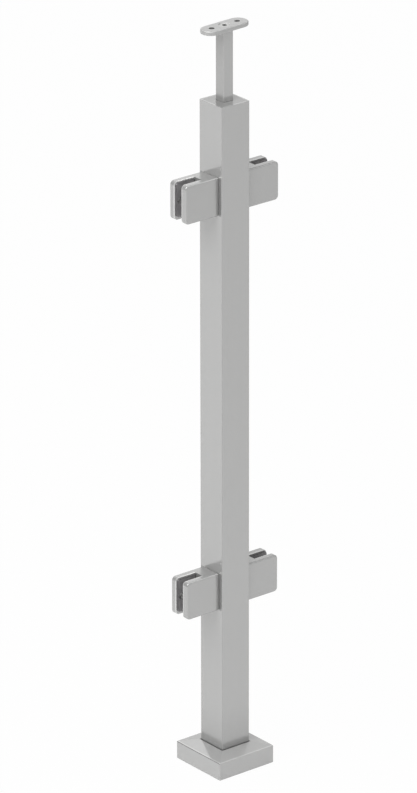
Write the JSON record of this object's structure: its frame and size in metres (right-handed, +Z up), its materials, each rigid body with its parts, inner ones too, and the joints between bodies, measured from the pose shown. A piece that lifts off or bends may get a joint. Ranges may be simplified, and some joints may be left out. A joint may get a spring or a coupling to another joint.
{
  "type": "railing post",
  "caption": "Square stainless steel railing post with glass clamps on both sides, a foot cover that lifts over its anchor flange, and a handrail saddle on a slim stem.",
  "frame": {"origin": "on the floor, on the axis of the post", "axes": "+Z up the post, +X along the glass panes, +Y towards the clamp jaws that come off; the row stands on its flange and foot cover"},
  "size_m": [0.1342, 0.08, 0.9045],
  "materials": {
    "post_steel": "satin brushed along the post",
    "stem_steel": "satin brushed along the stem",
    "saddle_steel": "satin brushed",
    "cover_steel": "satin brushed",
    "clamp_steel": "satin, cast and ground",
    "screw_steel": "plain stainless steel",
    "plain_steel": "plain stainless steel",
    "pad_rubber": "dull dark grey rubber"
  },
  "bodies": {
    "post": {"base_flange": "plain_steel", "post_tube": "post_steel", "top_cap": "post_steel", "stem": "stem_steel", "stem_screw": "screw_steel", "upper_left_clamp_body": "clamp_steel", "upper_left_front_pad": "pad_rubber", "upper_left_fixing_screw": "screw_steel", "upper_left_rivet_nut": "plain_steel", "upper_right_clamp_body": "clamp_steel", "upper_right_front_pad": "pad_rubber", "upper_right_fixing_screw": "screw_steel", "upper_right_rivet_nut": "plain_steel", "lower_left_clamp_body": "clamp_steel", "lower_left_front_pad": "pad_rubber", "lower_left_fixing_screw": "screw_steel", "lower_left_rivet_nut": "plain_steel", "lower_right_clamp_body": "clamp_steel", "lower_right_front_pad": "pad_rubber", "lower_right_fixing_screw": "screw_steel", "lower_right_rivet_nut": "plain_steel"},
    "foot_cover": {"base_cover": "cover_steel"},
    "saddle": {"saddle_plate": "saddle_steel", "saddle_screw": "screw_steel"},
    "upper_left_jaw": {"upper_left_rear_jaw": "clamp_steel", "upper_left_rear_pad": "pad_rubber", "upper_left_jaw_screws": "screw_steel"},
    "upper_right_jaw": {"upper_right_rear_jaw": "clamp_steel", "upper_right_rear_pad": "pad_rubber", "upper_right_jaw_screws": "screw_steel"},
    "lower_left_jaw": {"lower_left_rear_jaw": "clamp_steel", "lower_left_rear_pad": "pad_rubber", "lower_left_jaw_screws": "screw_steel"},
    "lower_right_jaw": {"lower_right_rear_jaw": "clamp_steel", "lower_right_rear_pad": "pad_rubber", "lower_right_jaw_screws": "screw_steel"}
  },
  "joints": [
    {"name": "cover_lift", "type": "slide", "parent": "post", "child": "foot_cover", "axis": [0, 0, 1], "range_m": [0, 0.175]},
    {"name": "saddle_swivel", "type": "hinge", "parent": "post", "child": "saddle", "pos_m": [0, 0, 0.8995], "axis": [0, 0, 1], "continuous": true},
    {"name": "upper_left_jaw_open", "type": "slide", "parent": "post", "child": "upper_left_jaw", "axis": [0, 1, 0], "range_m": [0, 0.004]},
    {"name": "upper_right_jaw_open", "type": "slide", "parent": "post", "child": "upper_right_jaw", "axis": [0, 1, 0], "range_m": [0, 0.004]},
    {"name": "lower_left_jaw_open", "type": "slide", "parent": "post", "child": "lower_left_jaw", "axis": [0, 1, 0], "range_m": [0, 0.004]},
    {"name": "lower_right_jaw_open", "type": "slide", "parent": "post", "child": "lower_right_jaw", "axis": [0, 1, 0], "range_m": [0, 0.004]}
  ]
}
